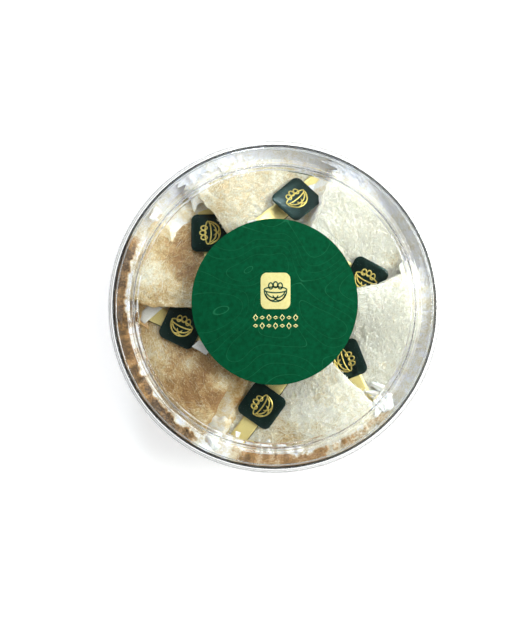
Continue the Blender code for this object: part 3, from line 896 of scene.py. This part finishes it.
# %% Where the bands and tags lie
BAND_WIDTH = 10.5 * MM
BANDS = {
    "1": dict(x=54.7, y=16.3, turn=-26.0, tag_turn=-28.0),
    "2": dict(x=42.1, y=-32.5, turn=-64.0, tag_turn=-68.5),
    "3": dict(x=-7.6, y=-59.2, turn=54.0, tag_turn=55.0),
    "4": dict(x=-55.7, y=-11.4, turn=-24.0, tag_turn=-25.0),
    "5": dict(x=-38.7, y=44.5, turn=98.0, tag_turn=91.0),
    "6": dict(x=13.1, y=64.6, turn=38.0, tag_turn=46.0),
}


def band_loop(name, samples=64, across=7):
    """The closed loop of the band as a grid: rows go round the loop, columns across the strip."""
    nest, band = NESTS[name], BANDS[name]
    turn = math.radians(band["turn"])
    ahead, aside = np.array([math.cos(turn), math.sin(turn)]), np.array([-math.sin(turn), math.cos(turn)])
    tag = np.array([band["x"], band["y"]]) * MM
    ahead = ahead * np.sign(ahead @ tag)
    columns = []
    for offset in np.linspace(-BAND_WIDTH / 2, BAND_WIDTH / 2, across):
        walk = np.arange(-0.12, 0.12, 0.00005)
        at = tag + aside * offset + walk[:, None] * ahead
        v, s, there = on_skin(nest, at[:, 0], at[:, 1])
        middle = len(walk) // 2
        first = middle - np.argmin(there[middle::-1]) + 1
        last = middle + np.argmin(there[middle:]) - 1
        pick = np.linspace(last, first, samples).round().astype(int)
        v, s = v[pick], s[pick]
        foot_s = np.linspace(0, s[0], 6)[:-1]
        v, s = np.concatenate([np.full(5, v[0]), v]), np.concatenate([foot_s, s])
        path = smooth_skin(nest, v, s)
        step = np.concatenate([[0], np.linalg.norm(np.diff(path, axis=0), axis=1).cumsum()])
        even = np.linspace(0, step[-1], samples)
        v, s = np.interp(even, step, v), np.interp(even, step, s)
        crinkle = 0.12 * MM * np.sin(even / MM / 3.1 + offset / MM)
        over = smooth_skin(nest, v, s, 1.5 * MM + crinkle)
        under = smooth_skin(nest, v, s, -NEST_WALL - 1.2 * MM)[::-1]
        past = v[-1] - math.degrees(1.6 * MM / (45 * MM)) / nest["to_next"]
        round_mouth = smooth_skin(nest, past, s[-1], np.array([0.2, -2.4, -4.4]) * MM)
        bottom = smooth_skin(nest, v[0], 0.0, np.array([-4.2, -1.8, 0.9]) * MM)
        bottom[:, 2] = NEST_FOOT_Z - 0.5 * MM
        columns.append(np.concatenate([over, round_mouth, under, bottom]))
    return np.stack(columns, 1)


# %% [markdown]
# Foil paper is paper with a hair-thin film of lacquered aluminium: it mirrors like metal but the
# paper under it keeps it from being perfectly flat. Faint wavy lines are printed on it.


# %% Gold foil paper
def make_foil():
    """Gold foil with a printed wave, read from the strip's own UV map, in millimetres."""
    made, tree, shader = new_material("gold_foil_paper", Metallic=0.45, Roughness=0.45)
    place = add_node(tree, "UVMap", uv_map="strip")
    wave = add_node(
        tree,
        "TexWave",
        {"Vector": place.outputs["UV"], "Scale": 0.42, "Distortion": 5.0, "Detail": 1.5, "Detail Scale": 0.5},
        wave_profile="SIN",
    )
    line = colour_ramp(tree, wave.outputs["Fac"], [(0.0, "#F2DF96"), (0.46, "#F7E8A4"), (0.5, "#DCC267"), (0.54, "#F7E8A4"), (1.0, "#EED888")])
    parts = add_node(tree, "SeparateXYZ", {"Vector": place.outputs["UV"]})
    # A strip 0.45 mm wide along one edge of the band is coloured dark green.
    rim = add_node(tree, "Math", {0: parts.outputs["Y"], 1: 0.45}, operation="LESS_THAN")
    colour = add_node(tree, "Mix", {"Factor": rim.outputs["Value"], "A": line, "B": linear("#20302A")}, data_type="RGBA")
    tree.links.new(colour.outputs["Result"], shader.inputs["Base Color"])
    return made


def mesh_uv(piece, name, uv):
    """Stores a UV for each corner of the mesh from one (u, v) pair for each of its points."""
    corner = np.empty(len(piece.data.loops), np.int32)
    piece.data.loops.foreach_get("vertex_index", corner)
    layer = piece.data.uv_layers.new(name=name)
    layer.data.foreach_set("uv", np.asarray(uv, np.float32).reshape(-1, 2)[corner].ravel())


gold_foil = make_foil()
white_back, back_tree, back_shader = new_material("white_paper_back", Roughness=0.7)
mottle(back_tree, back_shader, "#EDEAE2", "#F7F5F0", 1.5 * MM, 0.5)


def make_band(name):
    """The band as a closed loop of paper, gold outside and white inside."""
    loop = band_loop(name)
    rows, columns, _ = loop.shape
    piece = add_mesh(
        f"band_{name}_foil", loop, grid_faces(rows, columns, wrap_rows=True), [gold_foil, white_back], clean=False
    )
    middle = loop[:, columns // 2]
    along = np.linalg.norm(np.diff(middle, axis=0, prepend=middle[-1:]), axis=1).cumsum() / MM
    width = np.linspace(0, BAND_WIDTH / MM, columns)
    mesh_uv(piece, "strip", np.stack(np.meshgrid(along - along[0], width, indexing="ij"), -1))
    print(f"band {name} is a loop of {along[-1]:.0f} mm")
    outward = piece.data.polygons[10].normal.copy()
    centre = loop.mean((0, 1))
    if np.dot(outward, loop[10, 0] - centre) < 0:
        piece.data.flip_normals()
    paper = piece.modifiers.new("paper", "SOLIDIFY")
    paper.thickness = 0.16 * MM
    paper.offset = -1.0
    paper.material_offset = 1
    put_on_box(piece, "band", f"band_{name}")
    return piece


for nest_name in NESTS:
    made = make_band(nest_name)
    print(made.name, "points", len(made.data.vertices))

# %% [markdown]
# Where a band was folded back on itself, its white side shows as a short strip.


# %% White flaps
def make_flap(name, nest_name, corners, lift):
    """A strip blended between four (x, y) corners in millimetres, laid over the skin."""
    nest = NESTS[nest_name]
    t, u = np.meshgrid(np.linspace(0, 1, 20), np.linspace(0, 1, 9), indexing="ij")
    t, u = t[..., None], u[..., None]
    a, b, c, d = np.array(corners, float) * MM
    plan = (1 - t) * ((1 - u) * a + u * d) + t * ((1 - u) * b + u * c)
    v, s, _ = on_skin(nest, plan[..., 0], plan[..., 1])
    z = smooth_skin(nest, v, s, lift)[..., 2] + 0.25 * MM * np.sin(5 * t[..., 0] + 2 * u[..., 0])
    flap = add_mesh(name, np.dstack([plan, z]), grid_faces(20, 9), [white_back], clean=False)
    if flap.data.polygons[40].normal.z < 0:
        flap.data.flip_normals()
    paper = flap.modifiers.new("paper", "SOLIDIFY")
    paper.thickness = 0.16 * MM
    paper.offset = -1.0
    put_on_box(flap, "band", f"band_{nest_name}")
    return flap


make_flap("band_4_flap", "4", [(-83.5, -6.2), (-73.5, 3.4), (-67.5, -0.8), (-78.3, -10.2)], 3.0 * MM)
make_flap("band_4_tail", "4", [(-45.0, -19.8), (-38.0, -25.0), (-40.6, -28.6), (-49.5, -23.8)], 2.2 * MM)
make_flap("band_6_tail", "6", [(-16.0, 50.6), (-8.0, 52.6), (-8.0, 49.6), (-16.0, 48.0)], 1.6 * MM)

# %% [markdown]
# A tag is a rounded square of gloss-laminated card. It is built flat from rings of its outline, and
# bent a little along the band, because card that is glued to a curved strip never stays flat. The
# place and the tilt come from its solid.


# %% Tags
def tag_frame(name):
    """The tag solid's middle and its three directions: along, across and up. Up is the direction
    in which its points spread least."""
    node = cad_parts[f"tag_{name}"]
    at = np.empty(len(node.data.vertices) * 3, np.float32)
    node.data.vertices.foreach_get("co", at)
    at = at.reshape(-1, 3).astype(float)
    middle = (at.min(0) + at.max(0)) / 2
    up = np.linalg.svd(at - at.mean(0), full_matrices=False)[2][2]
    up = up * np.sign(up[2])
    turn = math.radians(BANDS[name]["tag_turn"])
    across = np.cross(up, [math.cos(turn), math.sin(turn), 0])
    across /= np.linalg.norm(across)
    return middle, np.cross(across, up), across, up


def rounded_square(side, corner, steps=8):
    """The outline of a square with round corners, as points in a plane."""
    inner = side / 2 - corner
    turn = np.linspace(0, np.pi / 2, steps)
    quarters = []
    for k, (x, y) in enumerate(((1, 1), (-1, 1), (-1, -1), (1, -1))):
        a = turn + k * np.pi / 2
        quarters.append(np.stack([x * inner + corner * np.cos(a), y * inner + corner * np.sin(a)], -1))
    return np.concatenate(quarters)


def laid_on_tag(name, flat):
    """Places (x, y, height) points of a flat tag, in millimetres, on the bent tag in the box."""
    middle, along, across, up = tag_frame(name)
    x, y, height = flat[..., 0], flat[..., 1], flat[..., 2]
    phase = float(name)
    dip = -(x**2) / 260 - y**2 / 230 + 0.22 * np.sin(x / 4.2 + phase) * y / 10
    height = height + dip
    return middle + (x[..., None] * along + y[..., None] * across + height[..., None] * up) * MM


TAG_SIDE, TAG_CORNER, TAG_CARD = 22.8, 4.0, 0.5
tag_card, card_tree, card_shader = new_material(
    "gloss_laminated_card",
    Roughness=0.3,
    Specular_IOR_Level=0.5,
    Specular_Tint=linear("#8FBDB4"),
    Coat_Weight=0.35,
    Coat_Roughness=0.1,
)
mottle(card_tree, card_shader, "#081714", "#0C1F1B", 1.2 * MM, 0.12)


def make_tag(name):
    """The card as one closed surface: rings from the middle of its back, round its edge, to the
    middle of its face."""
    outline = rounded_square(TAG_SIDE, TAG_CORNER)
    sizes = [(0, -1), (0.4, -1), (0.8, -1), (0.985, -1), (1, -0.7), (1, 0.7), (0.985, 1), (0.8, 1), (0.6, 1), (0.4, 1), (0.2, 1), (0, 1)]
    rings = [np.c_[outline * size, np.full(len(outline), side * TAG_CARD / 2)] for size, side in sizes]
    points = laid_on_tag(name, np.stack(rings))
    piece = add_mesh(f"tag_{name}_card", points, grid_faces(len(rings), len(outline), wrap_columns=True), [tag_card])
    piece.data.set_sharp_from_angle(angle=math.radians(35))
    put_on_box(piece, "tag", f"tag_{name}")
    return piece


for nest_name in NESTS:
    made = make_tag(nest_name)
    print(made.name, "points", len(made.data.vertices))

# %% [markdown]
# The printing on the tags and the label is hot-stamped gold: a die presses foil into the surface,
# so each line is a thin raised ribbon. The drawing is a plain bowl of crossing strands with three
# eggs, made from arcs. Each arc is a path, and a small flat section is carried along it.


# %% Stamped lines
def stroke(path, width, height):
    """A flat closed ribbon of (x, y, height) points along a path in the plane: its section is a
    low box, wide across the path, and the ends run out to a point."""
    ahead = np.gradient(path, axis=0)
    ahead /= np.linalg.norm(ahead, axis=1, keepdims=True) + 1e-9
    side = np.stack([-ahead[:, 1], ahead[:, 0]], -1)
    closed = np.linalg.norm(path[0] - path[-1]) < 1e-6
    wide = np.ones(len(path)) if closed else np.clip(6 * np.sin(np.linspace(0, np.pi, len(path))), 0.0, 1)
    section = [(-1, 0), (-1, 1), (1, 1), (1, 0)]
    rows = [np.c_[path + side * (a * width / 2 * wide)[:, None], np.full(len(path), b * height)] for a, b in section]
    return np.stack(rows, 1)


def ellipse(x, y, a, b, start=0.0, end=360.0, steps=40):
    """Part of an ellipse round (x, y), with half axes a and b, from start to end degrees."""
    t = np.radians(np.linspace(start, end, steps))
    return np.stack([x + a * np.cos(t), y + b * np.sin(t)], -1)


def bowl_drawing(size):
    """A bowl of woven strands with three eggs, about 2 * size wide, as a list of paths."""
    paths = [ellipse(0, 0.28, 1.0, 0.26), ellipse(0, 0.28, 1.0, 1.05, 180, 360), ellipse(0, 0.28, 0.86, 0.72, 188, 352)]
    paths += [ellipse(x, 0.28, 0.62, 0.95, 205 + 12 * x, 335 + 12 * x, 24) for x in (-0.30, 0.30)]
    paths += [ellipse(x, 0.62 + 0.1 * (x == 0), 0.19, 0.27, 0, 360, 24) for x in (-0.42, 0.0, 0.42)]
    return [path * size for path in paths]


def merge_strokes(strokes, place):
    """Joins several ribbons into one set of points and faces. place puts them in the box."""
    points, faces, count = [], [], 0
    for ribbon in strokes:
        rows, columns, _ = ribbon.shape
        faces.append(grid_faces(rows, columns, wrap_columns=True) + count)
        points.append(place(ribbon).reshape(-1, 3))
        count += rows * columns
    return np.concatenate(points), np.concatenate(faces)


stamped_gold, stamp_tree, stamp_shader = new_material("hot_stamped_gold", Metallic=0.85, Roughness=0.36)
mottle(stamp_tree, stamp_shader, "#CDB75C", "#E6D27C", 0.8 * MM, 0.3)

for nest_name in NESTS:
    ribbons = [stroke(path + [0, -0.8], 0.75, 0.06) for path in bowl_drawing(7.0)]
    points, faces = merge_strokes(ribbons, lambda flat: laid_on_tag(nest_name, flat + [0, 0, TAG_CARD / 2]))
    made = add_mesh(f"tag_{nest_name}_stamp", points, faces, [stamped_gold], smooth=False)
    put_on_box(made, "band")
    print(made.name, "points", len(made.data.vertices))

# %% [markdown]
# The label is uncoated paper printed deep green, with faint contour lines like those on a map. The
# lines are where slow noise crosses even levels, so they never cross each other.


# %% Label
LABEL_CENTRE = (0.1, 2.9)
LABEL_TOP = 53.48


def make_label_paper():
    """Green printed paper with faint contour lines and a little cloudiness."""
    made, tree, shader = new_material("green_printed_paper", Roughness=0.8, Specular_IOR_Level=0.06)
    place = add_node(tree, "TexCoord")
    hills = add_node(
        tree, "TexNoise", {"Vector": place.outputs["Object"], "Scale": 26.0, "Detail": 0.0, "Distortion": 0.35}
    )
    levels = add_node(tree, "Math", {0: hills.outputs["Fac"], 1: 13.0}, operation="MULTIPLY")
    part = add_node(tree, "Math", {0: levels.outputs["Value"]}, operation="FRACT")
    off = add_node(tree, "Math", {0: part.outputs["Value"], 1: 0.5}, operation="SUBTRACT")
    near = add_node(tree, "Math", {0: off.outputs["Value"]}, operation="ABSOLUTE")
    line = add_node(
        tree, "MapRange", {"Value": near.outputs["Value"], "From Min": 0.004, "From Max": 0.02, "To Min": 0.5, "To Max": 0.0}
    )
    fibre = add_node(tree, "TexNoise", {"Vector": place.outputs["Object"], "Scale": 420.0, "Detail": 4.0})
    green = colour_ramp(tree, fibre.outputs["Fac"], [(0.3, "#004427"), (0.7, "#015433")])
    relief = add_node(tree, "Bump", {"Height": fibre.outputs["Fac"], "Strength": 0.4, "Distance": 0.1 * MM})
    tree.links.new(relief.outputs["Normal"], shader.inputs["Normal"])
    colour = add_node(
        tree, "Mix", {"Factor": line.outputs["Result"], "A": green, "B": linear("#2B7E57")}, data_type="RGBA"
    )
    tree.links.new(colour.outputs["Result"], shader.inputs["Base Color"])
    return made


label_outline = rounded_outline([(0, 53.3, 0), (48.6, 53.3, 0.1), (48.6, LABEL_TOP, 0.1), (0, LABEL_TOP, 0)], 2)
label = turned("label_paper", label_outline, [make_label_paper()], LABEL_CENTRE)
put_on_box(label, "label", "label")

# %% [markdown]
# In the middle of the label a pale gold seal is stamped, with the same bowl in green on it, and two
# rows of small lozenges below. The seal is a rounded rectangle, built like the tags.

# %% Seal and ornament
pale_gold, gold_tree, gold_shader = new_material("pale_gold_ink", Metallic=0.1, Roughness=0.45)
mottle(gold_tree, gold_shader, "#E6DE90", "#F0E9A2", 1.5 * MM, 0.2)
green_ink, ink_tree, ink_shader = new_material("green_ink", Roughness=0.6)
mottle(ink_tree, ink_shader, "#09432B", "#0D5136", 0.8 * MM, 0.2)
SEAL_CENTRE = np.array([0.6, 9.3, LABEL_TOP])


def on_label(flat, centre=SEAL_CENTRE):
    """Places (x, y, height) points, in millimetres, on top of the label."""
    return (flat + centre) * MM


seal_outline = rounded_square(17.4, 3.4) * [1.0, 1.22]
seal_rings = [np.c_[seal_outline * size, np.full(len(seal_outline), z)] for size, z in ((0, 0), (1, 0), (1, 0.04), (0.99, 0.06), (0, 0.06))]
seal = add_mesh(
    "label_seal", on_label(np.stack(seal_rings)), grid_faces(5, len(seal_outline), wrap_columns=True), [pale_gold], smooth=False
)
put_on_box(seal, "label")

ribbons = [stroke(path + [0, -1.2], 0.8, 0.04) for path in bowl_drawing(6.6)]
points, faces = merge_strokes(ribbons, lambda flat: on_label(flat + [0, 0, 0.06]))
seal_drawing = add_mesh("label_seal_drawing", points, faces, [green_ink], smooth=False)
put_on_box(seal_drawing, "label")

lozenges = []
for row, (y, count) in enumerate(((-15.6, 7), (-20.4, 7))):
    for k in range(count):
        x = (k - (count - 1) / 2) * 3.9
        tall = 1.7 if (k + row) % 2 == 0 else 0.8
        lozenges.append(stroke(ellipse(x, y, 1.25, tall, 0, 360, 5), 0.7, 0.05))
points, faces = merge_strokes(lozenges, on_label)
ornament = add_mesh("label_ornament", points, faces, [pale_gold], smooth=False)
put_on_box(ornament, "label")
print("ornament points", len(points))
